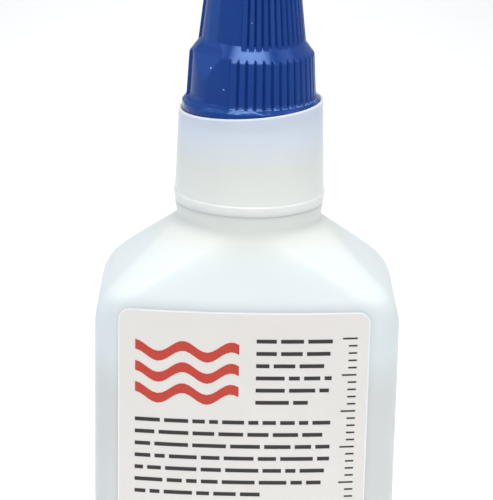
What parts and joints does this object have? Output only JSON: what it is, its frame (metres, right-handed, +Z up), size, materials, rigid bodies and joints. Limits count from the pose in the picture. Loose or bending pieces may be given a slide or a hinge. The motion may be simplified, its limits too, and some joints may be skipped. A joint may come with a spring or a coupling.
{
  "type": "squeeze bottle for instant adhesive",
  "caption": "Translucent oblong squeeze bottle with sloping shoulders, a push-fit nozzle collar, and a ribbed blue screw cap with a pin that seals the spout.",
  "frame": {"origin": "centre of the base, on the surface that the bottle stands on", "axes": "+Z up the axis of the neck, spout and cap; +X across the wide panels, to the right as the label is read; the labelled panel faces -Y"},
  "size_m": [0.0398, 0.0269, 0.1229],
  "materials": {
    "hdpe_natural": "blown natural HDPE, translucent, satin",
    "ldpe_natural": "moulded natural LDPE, milky and translucent",
    "pp_blue": "moulded blue PP, semi-gloss",
    "steel_pin": "drawn stainless wire",
    "label_film": "white polypropylene film, satin",
    "clear_liquid": "clear liquid"
  },
  "bodies": {
    "bottle_body": {"bottle": "hdpe_natural", "nozzle": "ldpe_natural", "label": "label_film", "adhesive": "clear_liquid"},
    "pin_body": {"sealing_pin": "steel_pin"},
    "cap_body": {"overcap": "pp_blue"}
  },
  "joints": [
    {"name": "cap_lift", "type": "slide", "parent": "bottle_body", "child": "pin_body", "axis": [0, 0, 1], "range_m": [0, 0.0321]},
    {"name": "cap_turn", "type": "hinge", "parent": "pin_body", "child": "cap_body", "pos_m": [0, 0, 0.1], "axis": [0, 0, 1], "range_deg": [0, 2880]}
  ],
  "couplings": [
    {"joint": "cap_lift", "follows": "cap_turn", "m_per_rad": 0.00063662}
  ]
}
